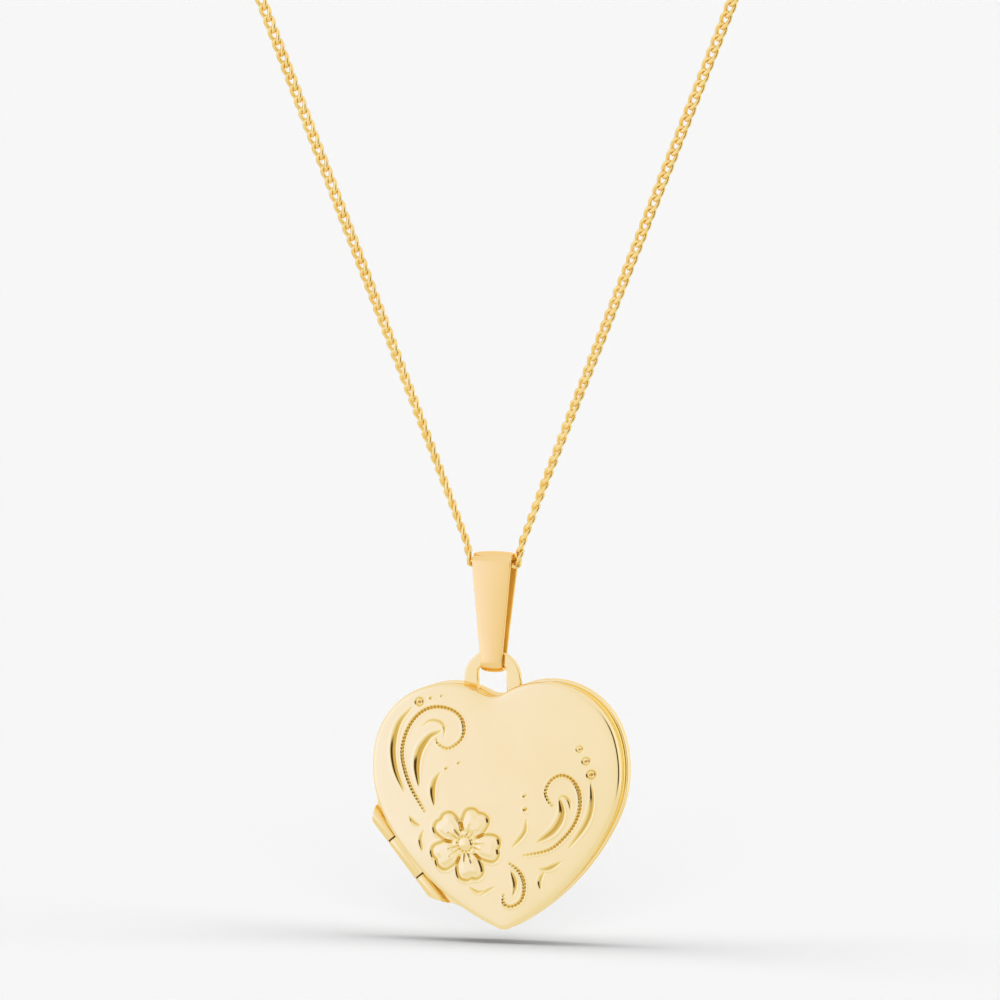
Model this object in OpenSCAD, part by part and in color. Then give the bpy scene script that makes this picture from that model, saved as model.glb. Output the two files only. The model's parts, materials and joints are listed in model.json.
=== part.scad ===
// Heart locket that hangs by a folded bail from a fine chain.
// +Z is up and the decorated cover faces -Y. The origin is the chain's axis where the bail
// hangs on it. The locket is drawn upright about the YZ plane and then leans by hang_tilt.

/* [Heart] */
// Height of the two lobe centres below the chain
lobe_drop = 14.43; // [14:0.01:15]
// Distance of each lobe centre from the middle
lobe_x = 3.77; // [3.5:0.01:4]
// Radius of the top of each lobe
lobe_r = 5.8; // [5.5:0.1:6]
// Direction where the lobe passes into the cheek, from the horizontal
cheek_from = 13; // [8:1:18]
// Radius of the cheek, the widest part of the side
cheek_r = 8.7; // [8.3:0.1:9]
// Direction where the cheek passes into the flank
flank_from = -28; // [-32:1:-24]
// Radius of the flank, which runs down to the tip
flank_r = 17.9; // [17:0.1:19]
// Radius of the tip
tip_r = 1; // [0.8:0.05:1.3]
// Radius of the notch between the lobes
notch_r = 1.8; // [1.4:0.1:2.2]

/* [Covers] */
// Distance from the parting plane to the front cover's edge
front_edge = 0.58; // [0.56:0.01:0.6]
// Distance from the parting plane to the back cover's edge
back_edge = 0.7; // [0.68:0.01:0.75]
// Depth of the front cover's side wall
front_wall = 0.77; // [0.7:0.01:1.2]
// Depth of the back cover's side wall
back_wall = 0.95; // [0.8:0.05:1.2]
// Radius of the shoulder between side wall and face
shoulder_r = 0.32; // [0.25:0.01:0.4]
// Rise of each cover's domed face
dome_rise = 0.3; // [0.2:0.05:0.45]
// Thickness of the cover metal
cover_t = 0.3; // [0.25:0.01:0.35]

/* [Bezels and photographs] */
// How far each bezel stands in from the covers' edge
bezel_inset = 0.12; // [0.1:0.01:0.16]
// Distance from the covers' edge to the photograph's well
well_inset = 1.3; // [1.2:0.05:1.4]
// Distance from the covers' edge to the inner edge of the ledge and the photo frame
ledge_inset = 1.9; // [1.85:0.05:2.1]
// Gap between the bezels at the parting plane
parting_gap = 0.06; // [0.05:0.01:0.1]

/* [Hinge] */
// Distance of the hinge's middle from the locket's middle
hinge_x = 7.69; // [7.66:0.01:7.75]
// Distance of the hinge's middle below the chain
hinge_drop = 21.59; // [21.5:0.01:21.7]
// Lean of the hinge line from the vertical
hinge_lean = 35.7; // [35:0.1:36.5]
// Radius of the hinge tube
knuckle_r = 0.5; // [0.48:0.01:0.52]
// Length of the hinge above its middle, along its outer side
hinge_up = 3.6; // [3.5:0.01:3.8]
// Length of the hinge below its middle, along its outer side
hinge_down = 3.34; // [3.2:0.01:3.6]
// Radius of the hinge pin
pin_r = 0.18; // [0.15:0.01:0.2]

/* [Loop and bail] */
// Outer radius of the loop's arch
loop_r = 2.2; // [2.1:0.05:2.3]
// Half of the width inside the loop
loop_in = 1.1; // [1.08:0.01:1.15]
// Thickness of the loop plate
loop_t = 0.45; // [0.4:0.01:0.46]
// Width of the bail at the top
bail_top_w = 3; // [2.8:0.02:3.04]
// Width of the bail at the bottom
bail_foot_w = 1.68; // [1.6:0.02:1.7]
// Thickness of the bail strap
strap_t = 0.3; // [0.26:0.01:0.3]
// Half of the depth of the bail across its shoulders
bail_half = 1.05; // [1:0.01:1.2]

/* [Chain and clasp] */
// Width of the curb chain
chain_d = 0.9; // [0.8:0.05:0.9]
// Radius of the wire of the rings at the chain's ends
ring_wire = 0.22; // [0.2:0.01:0.22]
// Radius of the spring ring, to the middle of its tube
clasp_r = 2.1; // [2:0.05:2.3]
// Radius of the spring ring's tube
clasp_tube = 0.5; // [0.48:0.01:0.52]
// Lean of the locket towards its hinge side
hang_tilt = 2.9; // [0:0.1:3.5]
// How far the heart's middle hangs beside its loop
heart_shift = 0.23; // [0:0.01:0.3]

/* [Hidden] */
$fn = 48;

gold = "#F4DDA6";
deep_gold = "#E3B85A";
clear = "#DDE6EA";
card = "#F4EEE2";

lobe_z = -lobe_drop;
// Centres of the cheek and flank arcs on the right-hand side, each tangent to the one above
cheek_c = [lobe_x + (lobe_r - cheek_r) * cos(cheek_from), lobe_z + (lobe_r - cheek_r) * sin(cheek_from)];
flank_c = cheek_c + (cheek_r - flank_r) * [cos(flank_from), sin(flank_from)];
// Height of the notch arc's centre, above the lobes
notch_z = lobe_z + sqrt(pow(lobe_r + notch_r, 2) - lobe_x * lobe_x);
// A point inside the heart, to which the domes are drawn in
heart_mid = [0, -17];
least_tip = 0.1;

function tip_r_at(inset) = max(tip_r - inset, least_tip);
function tip_z_at(inset) =
    flank_c.y - sqrt(pow(flank_r - inset - tip_r_at(inset), 2) - flank_c.x * flank_c.x);
function arc(c, r, from, to, n) =
    [for (i = [0 : n - 1]) let (a = from + (to - from) * i / n) c + r * [cos(a), sin(a)]];
// The right-hand half of the outline from the notch down to the tip, a distance inside the edge
function half_heart(inset) =
    let (tip_c = [0, tip_z_at(inset)], notch_c = [0, notch_z], lobe_c = [lobe_x, lobe_z],
         to_lobe = atan2(lobe_z - notch_z, lobe_x), to_notch = atan2(notch_z - lobe_z, -lobe_x),
         to_tip = atan2(tip_c.y - flank_c.y, -flank_c.x))
    concat(arc(notch_c, notch_r + inset, -90, to_lobe, 3),
           arc(lobe_c, lobe_r - inset, to_notch, cheek_from, 11),
           arc(cheek_c, cheek_r - inset, cheek_from, flank_from, 6),
           arc(flank_c, flank_r - inset, flank_from, to_tip, 10),
           arc(tip_c, tip_r_at(inset), to_tip, -90, 3),
           [[0, tip_c.y - tip_r_at(inset)]]);
function heart(inset) =
    let (half = half_heart(inset), last = len(half) - 1)
    concat(half, [for (i = [last - 1 : -1 : 1]) [-half[i].x, half[i].y]]);

// Places and sizes that follow from the driving ones
pivot_z = -7.2;
loop_top = -7.5;
loop_corner = 0.45;
loop_mid_z = loop_top - 1;
loop_foot_z = -9.6;
loop_shift = -0.38;
loop_y = 0.28;
bail_foot_r = 0.7;
bail_corner = 0.7;
bail_top = 0.6 + strap_t;
bail_waist_z = -4.6;
bail_taper_to = -7;
bail_lean = 1;
bail_shift = -0.05;
pin_gap = 0.02;
knuckle_gap = 0.06;
leaf_y = 0.1;
leaf_t = 0.35;
leaf_reach = 1.3;
middle_from = -1.77;
middle_to = 1.67;
mitre_up = 40;
mitre_down = 54;
catch_in = 0.45;
catch_t = 0.3;
catch_w = 2.4;
catch_gap = 0.06;
ledge_t = 0.12;
card_t = 0.06;
window_t = 0.1;
frame_t = 0.2;

// Route of the right-hand half of the chain in the XZ plane, from under the bail to the end
half_route = [[0, 0], [0.6, 0], [1.15, 0.02], [1.65, 0.1], [1.93, 0.5], [1.98, 1], [2.1, 1.5],
              [4.04, 6.5], [6.04, 11.5], [8.05, 16.5], [10.06, 21.5], [12.07, 26.5], [14.08, 31.5],
              [16.09, 36.5], [18.1, 41.5], [19.3, 44.5]];
route_last = len(half_route) - 1;
route = concat([for (i = [route_last : -1 : 1]) [-half_route[i].x, half_route[i].y]], half_route);
strand_end = half_route[route_last];
strand_step = strand_end - half_route[route_last - 1];
strand_lean = atan2(strand_step.x, strand_step.y);
chain_sides = 8;
long_step = 3;
// The links lie on edge under the bail, where the tube round them is slimmer
seat_r = 0.28;
seat_to = 2.1;
full_from = 4;

// The locket leans about the bail's foot, with the loop in the plane Y = 0 and the covers'
// parting plane just in front of it
module locket_place() {
    translate([heart_shift, -loop_y, pivot_z]) rotate([0, -hang_tilt, 0]) translate([0, 0, -pivot_z]) children();
}

module bail_place() {
    translate([bail_shift, 0, pivot_z]) rotate([0, bail_lean, 0]) translate([0, 0, -pivot_z]) children();
}

module slab(from, to) {
    translate([0, to, 0]) rotate([90, 0, 0]) linear_extrude(to - from) children();
}

module heart_ring(outer, inner) {
    difference() {
        polygon(heart(outer));
        polygon(heart(inner));
    }
}

// A closed skin through equal rings of points, with a point at each end
function fan(centre, ring, n, flip) =
    [for (i = [0 : n - 1]) let (a = ring + i, b = ring + (i + 1) % n) flip ? [centre, b, a] : [centre, a, b]];
function band(ring_a, ring_b, n) =
    [for (i = [0 : n - 1]) let (j = (i + 1) % n) [ring_a + i, ring_b + i, ring_b + j, ring_a + j]];

module skin(rings, start, end) {
    n = len(rings[0]);
    count = len(rings);
    points = concat([start], [for (ring = rings) each ring], [end]);
    faces = concat(fan(0, 1, n, false),
                   [for (k = [0 : count - 2]) each band(1 + k * n, 1 + (k + 1) * n, n)],
                   fan(len(points) - 1, 1 + (count - 1) * n, n, true));
    polyhedron(points, faces, convexity = 6);
}

// One ring of a cover: the outline at an inset, drawn in by a share towards the middle
function cover_ring(inset, share, y) =
    [for (p = heart(inset)) let (q = heart_mid + share * (p - heart_mid)) [q.x, y, q.y]];
// Height of the face over its own edge, where share is 1 at the edge and 0 in the middle
function dome(share) = dome_rise * (1 - share * share);

// A stamped cover whose open edge is at y = 0 and whose face is towards +Y
module cover_pan(wall) {
    shoulder = [for (a = [0, 30, 60, 90]) [shoulder_r * (1 - cos(a)), wall - shoulder_r * (1 - sin(a))]];
    shares = [0.9, 0.7, 0.45, 0.2];
    inner_r = 0.08;
    in_wall = wall - cover_t;
    outside = concat([cover_ring(0, 1, 0)], [for (s = shoulder) cover_ring(s[0], 1, s[1])],
                     [for (s = shares) cover_ring(shoulder_r, s, wall + dome(s))]);
    inside = concat([for (i = [3 : -1 : 0]) cover_ring(cover_t + inner_r, shares[i], in_wall + dome(shares[i]))],
                    [cover_ring(cover_t + inner_r, 1, in_wall), cover_ring(cover_t, 1, in_wall - inner_r),
                     cover_ring(cover_t, 1, 0)]);
    mid_out = [heart_mid.x, wall + dome(0), heart_mid.y];
    mid_in = [heart_mid.x, in_wall + dome(0), heart_mid.y];
    rings = concat(inside, outside);
    skin(rings, mid_in, mid_out);
}

module bezel(depth) {
    slab(parting_gap / 2, depth) heart_ring(bezel_inset, well_inset);
    slab(depth - ledge_t, depth) heart_ring(well_inset - 0.1, ledge_inset);
}

module hinge_place() {
    translate([-hinge_x, 0, -hinge_drop]) rotate([0, -hinge_lean, 0]) children();
}

module catch_place() {
    translate([lobe_x, 0, lobe_z]) rotate([0, -hinge_lean, 0]) children();
}

// Room around the hinge line for knuckles that turn with the other half
module knuckle_room(from, to) {
    hinge_place() translate([0, 0, from]) cylinder(r = knuckle_r + knuckle_gap + 0.02, h = to - from);
}

// An outer knuckle with its leaf, cut back to the heart at its end
module outer_knuckle(side) {
    from = side > 0 ? middle_to + knuckle_gap : -middle_from + knuckle_gap;
    end = side > 0 ? hinge_up : hinge_down;
    mitre = side > 0 ? mitre_up : mitre_down;
    long = end + 2 - from;
    hinge_place() mirror([0, 0, side > 0 ? 0 : 1]) difference() {
        union() {
            translate([0, 0, from]) cylinder(r = knuckle_r, h = long);
            translate([0, leaf_y, from]) cube([leaf_reach, leaf_t, long]);
        }
        translate([0, 0, from - 1]) cylinder(r = pin_r, h = long + 2);
        translate([-knuckle_r, -2, end]) rotate([0, -mitre, 0]) translate([-2, 0, 0]) cube([6, 4, 6]);
    }
}

function tube_r(x) =
    seat_r + (chain_d / 2 - seat_r) * min(max((abs(x) - seat_to) / (full_from - seat_to), 0), 1);

module chain() {
    points = [for (p = route) [p.x, 0, p.y]];
    fine = concat([for (i = [0 : len(points) - 2])
                      let (a = points[i], b = points[i + 1], n = ceil(norm(b - a) / long_step))
                      each [for (k = [0 : n - 1]) a + (b - a) * k / n]],
                  [points[len(points) - 1]]);
    last = len(fine) - 1;
    rings = [for (i = [0 : last])
                 let (ahead = fine[min(i + 1, last)] - fine[max(i - 1, 0)],
                      along = ahead / norm(ahead), across = [along.z, 0, -along.x])
                 [for (s = [0 : chain_sides - 1]) let (a = 360 * s / chain_sides)
                     fine[i] + tube_r(fine[i].x) * (cos(a) * across + [0, sin(a), 0])]];
    color(deep_gold) skin(rings, fine[0], fine[last]);
}

// The end of one strand: +Z runs on along the strand
module strand_place(side) {
    translate([side * strand_end.x, 0, strand_end.y]) rotate([0, side * strand_lean, 0]) children();
}

module wire_ring(r, wire) {
    rotate_extrude() translate([r, 0]) circle(r = wire);
}

link_r = 0.95;
link_z = 0.75;
eye_r = 0.62;
eye_wire = 0.2;
eye_z = 1.87;
clasp_z = eye_z + eye_r + eye_wire + clasp_r + clasp_tube - 0.15;

module clasp_link() {
    color(deep_gold) strand_place(-1) translate([0, 0, link_z]) rotate([0, 90, 0]) wire_ring(link_r, ring_wire);
}

module tag_link() {
    color(deep_gold) strand_place(1) translate([0, 0, link_z]) rotate([0, 90, 0]) wire_ring(link_r, ring_wire);
}

module clasp_eye() {
    color(deep_gold) strand_place(-1) translate([0, 0, eye_z]) rotate([90, 0, 0]) wire_ring(eye_r, eye_wire);
}

// The spring ring lies in the strand's plane; angles run from the strand's right-hand side
module clasp_place() {
    strand_place(-1) translate([0, 0, clasp_z]) rotate([90, 0, 0]) children();
}

clasp_bore = 0.34;
rod_r = 0.27;
mouth_from = 20;
mouth_to = 80;
rod_from = 12;
rod_to = 160;
thumb_at = 102;
slot_from = 94;
slot_to = 166;
neck_r = 0.12;
slot_half = 0.18;

module clasp_body() {
    color(deep_gold) clasp_place() difference() {
        rotate([0, 0, mouth_to]) rotate_extrude(angle = 360 - mouth_to + mouth_from)
            translate([clasp_r, 0]) difference() {
                circle(r = clasp_tube);
                circle(r = clasp_bore);
            }
        rotate([0, 0, slot_from]) rotate_extrude(angle = slot_to - slot_from)
            translate([clasp_r, -slot_half]) square([1, 2 * slot_half]);
    }
}

module clasp_spring() {
    color("silver") clasp_place() rotate([0, 0, 225]) rotate_extrude(angle = 70)
        translate([clasp_r, 0]) circle(r = clasp_bore - 0.06);
}

module clasp_trigger() {
    color(gold) clasp_place() union() {
        rotate([0, 0, rod_from]) rotate_extrude(angle = rod_to - rod_from) translate([clasp_r, 0]) circle(r = rod_r);
        rotate([0, 0, thumb_at]) translate([clasp_r, 0, 0]) rotate([0, 90, 0]) cylinder(r = neck_r, h = 1);
        rotate([0, 0, thumb_at]) translate([clasp_r + 1, 0, 0]) sphere(r = 0.38);
    }
}

tag_hole_z = 1.95;
tag_eye_z = 4.3;
tag_half = 1.4;
tag_t = 0.4;
tag_eye_r = 0.9;

module end_tag() {
    color(gold) strand_place(1) rotate([90, 0, 0]) translate([0, 0, -tag_t / 2]) linear_extrude(tag_t) difference() {
        union() {
            translate([0, tag_hole_z]) circle(r = 1);
            translate([0, tag_eye_z]) circle(r = tag_half);
            polygon([[-1, tag_hole_z], [1, tag_hole_z], [tag_half, tag_eye_z], [-tag_half, tag_eye_z]]);
        }
        translate([0, tag_hole_z]) circle(r = 0.55);
        translate([0, tag_eye_z]) circle(r = tag_eye_r);
    }
}

// The strap's side view a thickness inside, from the back of the foot round to the front:
// the front runs straight from shoulder to foot, and the back draws in above its waist
function bail_side(t) =
    let (bend = [bail_half - bail_corner, bail_top - bail_corner], turns = [0 : 15 : 90])
    concat([for (a = turns) [0, pivot_z] + (bail_foot_r - t) * [sin(a), -cos(a)]],
           [[bail_foot_r - t, bail_waist_z]],
           [for (a = turns) bend + (bail_corner - t) * [cos(a), sin(a)]],
           [for (a = turns) [-bend.x, bend.y] + (bail_corner - t) * [-sin(a), cos(a)]],
           [for (a = turns) [0, pivot_z] + (bail_foot_r - t) * [-cos(a), -sin(a)]]);

module bail_strap() {
    half_top = bail_top_w / 2;
    half_foot = bail_foot_w / 2;
    shoulder_z = bail_top - bail_corner;
    color(gold) bail_place() intersection() {
        rotate([90, 0, 90]) translate([0, 0, -2]) linear_extrude(4) difference() {
            polygon(bail_side(0));
            polygon(bail_side(strap_t));
        }
        slab(-3, 3) polygon([[-half_top, 2], [half_top, 2], [half_top, shoulder_z],
                             [half_foot, bail_taper_to], [half_foot, -9], [-half_foot, -9],
                             [-half_foot, bail_taper_to], [-half_top, shoulder_z]]);
    }
}

module top_loop() {
    corner_x = loop_in - loop_corner;
    color(gold) locket_place() slab(loop_y - loop_t / 2, loop_y + loop_t / 2) translate([loop_shift, 0]) difference() {
        union() {
            translate([0, loop_mid_z]) circle(r = loop_r);
            translate([-loop_r, loop_foot_z]) square([2 * loop_r, loop_mid_z - loop_foot_z]);
        }
        translate([-loop_in, -12]) square([2 * loop_in, loop_top - loop_corner + 12]);
        for (side = [-1, 1]) translate([side * corner_x, loop_top - loop_corner]) circle(r = loop_corner);
        translate([-corner_x, loop_top - 1]) square([2 * corner_x, 1]);
        translate([-3, -13]) square([6, 13 + loop_foot_z]);
    }
}

module back_cover() {
    color(gold) locket_place() translate([0, back_edge, 0]) cover_pan(back_wall);
}

module front_cover() {
    color(gold) locket_place() translate([0, -front_edge, 0]) mirror([0, 1, 0]) cover_pan(front_wall);
}

module back_bezel() {
    color(deep_gold) locket_place() difference() {
        bezel(back_edge);
        knuckle_room(middle_from - 0.1, middle_to + 0.1);
    }
}

module front_bezel() {
    color(deep_gold) locket_place() difference() {
        mirror([0, 1, 0]) bezel(front_edge);
        knuckle_room(middle_to - 0.1, 6);
        knuckle_room(-6, middle_from + 0.1);
        catch_place() translate([lobe_r - catch_in - catch_t - catch_gap, -0.45, -catch_w / 2 - catch_gap])
            cube([catch_t + 2 * catch_gap, 1, catch_w + 2 * catch_gap]);
    }
}

// Photograph, window and frame lie on the ledge in that order, towards the parting plane
module photo_card(edge) {
    seat = edge - ledge_t;
    slab(seat - card_t, seat) polygon(heart(well_inset + 0.08));
}

module window(edge) {
    seat = edge - ledge_t - card_t;
    slab(seat - window_t, seat) polygon(heart(well_inset + 0.06));
}

module photo_frame(edge) {
    seat = edge - ledge_t - card_t - window_t;
    slab(seat - frame_t, seat) heart_ring(well_inset + 0.04, ledge_inset + 0.1);
}

module back_photo_card() {
    color(card) locket_place() photo_card(back_edge);
}

module back_window() {
    color(clear) locket_place() window(back_edge);
}

module back_photo_frame() {
    color(gold) locket_place() photo_frame(back_edge);
}

module front_photo_card() {
    color(card) locket_place() mirror([0, 1, 0]) photo_card(front_edge);
}

module front_window() {
    color(clear) locket_place() mirror([0, 1, 0]) window(front_edge);
}

module front_photo_frame() {
    color(gold) locket_place() mirror([0, 1, 0]) photo_frame(front_edge);
}

module catch_tongue() {
    color(deep_gold) locket_place() catch_place() translate([lobe_r - catch_in - catch_t, -0.35, -catch_w / 2])
        cube([catch_t, 0.6, catch_w]);
}

module hinge_knuckle_upper() {
    color(gold) locket_place() outer_knuckle(1);
}

module hinge_knuckle_lower() {
    color(gold) locket_place() outer_knuckle(-1);
}

module hinge_knuckle_middle() {
    long = middle_to - middle_from - 2 * knuckle_gap;
    color(gold) locket_place() hinge_place() translate([0, 0, middle_from + knuckle_gap]) difference() {
        union() {
            cylinder(r = knuckle_r, h = long);
            translate([0, -leaf_y - leaf_t, 0]) cube([leaf_reach - 0.4, leaf_t, long]);
        }
        translate([0, 0, -1]) cylinder(r = pin_r + pin_gap, h = long + 2);
    }
}

module hinge_pin() {
    color(deep_gold) locket_place() hinge_place() translate([0, 0, -hinge_down])
        cylinder(r = pin_r, h = hinge_down + hinge_up);
}

chain();
clasp_link();
clasp_eye();
clasp_body();
clasp_spring();
clasp_trigger();
tag_link();
end_tag();
bail_strap();
top_loop();
back_cover();
back_bezel();
back_photo_card();
back_window();
back_photo_frame();
catch_tongue();
hinge_knuckle_upper();
hinge_knuckle_lower();
hinge_pin();
front_cover();
front_bezel();
front_photo_card();
front_window();
front_photo_frame();
hinge_knuckle_middle();
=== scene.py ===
"""Looks of a gold heart locket that hangs by its bail from a curb chain.

Pieces are drawn in millimetres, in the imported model's frame: +Z is up, the decorated cover
faces -Y and the origin is the chain's axis under the bail. The locket's own pieces are drawn
upright and then lean as the real one hangs.
"""
import json
import math

import bpy
import numpy as np
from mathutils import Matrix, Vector
from mathutils.geometry import delaunay_2d_cdt


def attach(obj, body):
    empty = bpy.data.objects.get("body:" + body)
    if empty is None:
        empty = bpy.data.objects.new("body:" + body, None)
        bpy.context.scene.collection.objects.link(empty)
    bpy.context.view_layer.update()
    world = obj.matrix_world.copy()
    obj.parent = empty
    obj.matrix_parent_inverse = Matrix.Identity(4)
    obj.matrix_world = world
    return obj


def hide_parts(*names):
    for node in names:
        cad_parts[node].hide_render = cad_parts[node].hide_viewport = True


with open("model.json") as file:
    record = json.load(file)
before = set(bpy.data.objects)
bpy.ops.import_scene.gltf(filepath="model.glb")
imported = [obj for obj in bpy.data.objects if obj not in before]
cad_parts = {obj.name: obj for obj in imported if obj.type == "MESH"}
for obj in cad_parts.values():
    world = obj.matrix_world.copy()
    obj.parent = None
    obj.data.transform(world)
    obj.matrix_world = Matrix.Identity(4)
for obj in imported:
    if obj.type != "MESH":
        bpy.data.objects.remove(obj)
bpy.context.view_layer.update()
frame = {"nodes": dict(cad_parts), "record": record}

MM = 0.001

# ---------------------------------------------------------------- camera
VIEW_AZIMUTH = math.radians(17.5)
VIEW_ELEVATION = math.radians(5.3)
VIEW_DISTANCE = 0.9
# What the picture spans at the point aimed at
VIEW_WIDTH = 0.0741
SENSOR = 36.0
NEAREST_SEEN, FARTHEST_SEEN = 0.01, 50
AIM = Vector((0.00045, 0, 0.00484))


def make_camera():
    """A long lens at the photograph's viewing angle."""
    data = bpy.data.cameras.new("camera")
    data.sensor_width = SENSOR
    data.lens = SENSOR * VIEW_DISTANCE / VIEW_WIDTH
    data.clip_start = NEAREST_SEEN
    data.clip_end = FARTHEST_SEEN
    cam = bpy.data.objects.new("camera", data)
    bpy.context.collection.objects.link(cam)
    back = Vector((math.sin(VIEW_AZIMUTH) * math.cos(VIEW_ELEVATION),
                   -math.cos(VIEW_AZIMUTH) * math.cos(VIEW_ELEVATION),
                   math.sin(VIEW_ELEVATION)))
    cam.location = AIM + back * VIEW_DISTANCE
    cam.rotation_mode = "QUATERNION"
    cam.rotation_quaternion = (-back).to_track_quat("-Z", "Y")
    bpy.context.scene.camera = cam


make_camera()


# ---------------------------------------------------------------- materials
# A Mix node's colour sockets, which share their names with its number sockets
MIX_FIRST, MIX_SECOND, MIX_RESULT = 6, 7, 2
# Gold keeps this tint at a low angle, where plain metal would turn white
GRAZING_GOLD = (0.98, 0.78, 0.40, 1)
# Noise scales in object space, per metre
DRIFT_SCALE, SMEAR_SCALE, LINE_SCALE, DENT_SCALE = 260, 700, 5200, 420
LINE_STRENGTH, LINE_HEIGHT, DENT_HEIGHT = 0.03, 0.000003, 0.00002
GRAIN_SCALE, MARK_SCALE, MOTTLE_SCALE, FIBRE_SCALE = 3000, 900, 1500, 4000
FIBRE_STRENGTH, FIBRE_HEIGHT = 0.3, 0.00001


def new_material(name):
    """A node material, with its nodes, its links and its shader."""
    mat = bpy.data.materials.new(name)
    mat.use_nodes = True
    nodes, links = mat.node_tree.nodes, mat.node_tree.links
    return mat, nodes, links, nodes["Principled BSDF"]


def noise(nodes, links, coords, scale, detail, stretch=(1, 1, 1)):
    """Noise in object space, stretched along an axis where stretch isn't 1."""
    mapping = nodes.new("ShaderNodeMapping")
    mapping.inputs["Scale"].default_value = stretch
    links.new(coords.outputs["Object"], mapping.inputs["Vector"])
    tex = nodes.new("ShaderNodeTexNoise")
    tex.inputs["Scale"].default_value = scale
    tex.inputs["Detail"].default_value = detail
    links.new(mapping.outputs["Vector"], tex.inputs["Vector"])
    return tex.outputs["Fac"]


def ramp(nodes, links, source, low, high, dark, light):
    """A colour that runs from dark to light while source runs from low to high."""
    node = nodes.new("ShaderNodeValToRGB")
    node.color_ramp.elements[0].position = low
    node.color_ramp.elements[1].position = high
    node.color_ramp.elements[0].color = (*dark, 1)
    node.color_ramp.elements[1].color = (*light, 1)
    links.new(source, node.inputs["Fac"])
    return node.outputs["Color"]


def math_node(nodes, links, operation, first, second):
    """An operation on two values, each a number or a socket."""
    node = nodes.new("ShaderNodeMath")
    node.operation = operation
    for socket, value in zip(node.inputs, (first, second)):
        if isinstance(value, (int, float)):
            socket.default_value = value
        else:
            links.new(value, socket)
    return node.outputs[0]


def step_node(nodes, links, source, low, high, start=0.0, end=1.0):
    """A value that runs from start to end while source runs from low to high."""
    node = nodes.new("ShaderNodeMapRange")
    node.inputs["From Min"].default_value = low
    node.inputs["From Max"].default_value = high
    node.inputs["To Min"].default_value = start
    node.inputs["To Max"].default_value = end
    links.new(source, node.inputs["Value"])
    return node.outputs["Result"]


def stops_node(nodes, links, source, stops):
    """A colour or grey by angle, from stops in degrees. source is 0 at -180 and 1 at 180."""
    node = nodes.new("ShaderNodeValToRGB")
    elements = node.color_ramp.elements
    while len(elements) < len(stops):
        elements.new(0.5)
    for element, (angle, value) in zip(elements, stops):
        element.position = (angle + 180) / 360
        element.color = (*value, 1) if isinstance(value, tuple) else (value, value, value, 1)
    links.new(source, node.inputs["Fac"])
    return node.outputs["Color"]


def mix_node(nodes, links, share, first, second):
    """A colour that passes from the socket first to the colour second as share grows."""
    node = nodes.new("ShaderNodeMix")
    node.data_type = "RGBA"
    links.new(share, node.inputs["Factor"])
    links.new(first, node.inputs[MIX_FIRST])
    node.inputs[MIX_SECOND].default_value = (*second, 1)
    return node.outputs[MIX_RESULT]


def bump_node(nodes, links, height, strength, distance, under=None):
    """The normal of a surface with this fine relief, laid over the normal under it, if any."""
    node = nodes.new("ShaderNodeBump")
    node.inputs["Strength"].default_value = strength
    node.inputs["Distance"].default_value = distance
    links.new(height, node.inputs["Height"])
    if under is not None:
        links.new(under, node.inputs["Normal"])
    return node.outputs["Normal"]


def polished_gold(name, light, dark, rough_low, rough_high, dents, painted_shading=None, recess_rough=0):
    """Gold with slow colour drift, uneven gloss, fine polishing lines and shallow dents.

    recess is the pair of painted shading colours that half-marked and fully marked places take,
    where the mesh says how much each takes. recess_rough is how much rougher they are."""
    mat, nodes, links, bsdf = new_material(name)
    bsdf.inputs["Metallic"].default_value = 1.0
    bsdf.inputs["Specular Tint"].default_value = GRAZING_GOLD
    coords = nodes.new("ShaderNodeTexCoord")
    drift = noise(nodes, links, coords, DRIFT_SCALE, 3)
    tint = ramp(nodes, links, drift, 0.35, 0.65, dark, light)
    smears = noise(nodes, links, coords, SMEAR_SCALE, 4, (1, 1, 0.35))
    rough = step_node(nodes, links, smears, 0.35, 0.7, rough_low, rough_high)
    if painted_shading:
        depth = nodes.new("ShaderNodeAttribute")
        depth.attribute_name = "painted_shading"
        for low, high, shade in zip((0, 0.5), (0.5, 1), painted_shading):
            share = step_node(nodes, links, depth.outputs["Fac"], low, high)
            tint = mix_node(nodes, links, share, tint, shade)
        if recess_rough:
            extra = math_node(nodes, links, "MULTIPLY", depth.outputs["Fac"], recess_rough)
            rough = math_node(nodes, links, "ADD", rough, extra)
    links.new(tint, bsdf.inputs["Base Color"])
    links.new(rough, bsdf.inputs["Roughness"])
    lines = noise(nodes, links, coords, LINE_SCALE, 2, (0.12, 1, 1))
    fine = bump_node(nodes, links, lines, LINE_STRENGTH, LINE_HEIGHT)
    waves = noise(nodes, links, coords, DENT_SCALE, 1)
    soft = bump_node(nodes, links, waves, dents, DENT_HEIGHT, fine)
    links.new(soft, bsdf.inputs["Normal"])
    return mat


def steel_material():
    """Drawn steel wire with a fine grain."""
    mat, nodes, links, bsdf = new_material("spring_steel")
    bsdf.inputs["Metallic"].default_value = 1.0
    coords = nodes.new("ShaderNodeTexCoord")
    grain = noise(nodes, links, coords, GRAIN_SCALE, 2)
    colour = ramp(nodes, links, grain, 0.3, 0.7, (0.42, 0.42, 0.44), (0.66, 0.66, 0.68))
    links.new(colour, bsdf.inputs["Base Color"])
    bsdf.inputs["Roughness"].default_value = 0.3
    return mat


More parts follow.
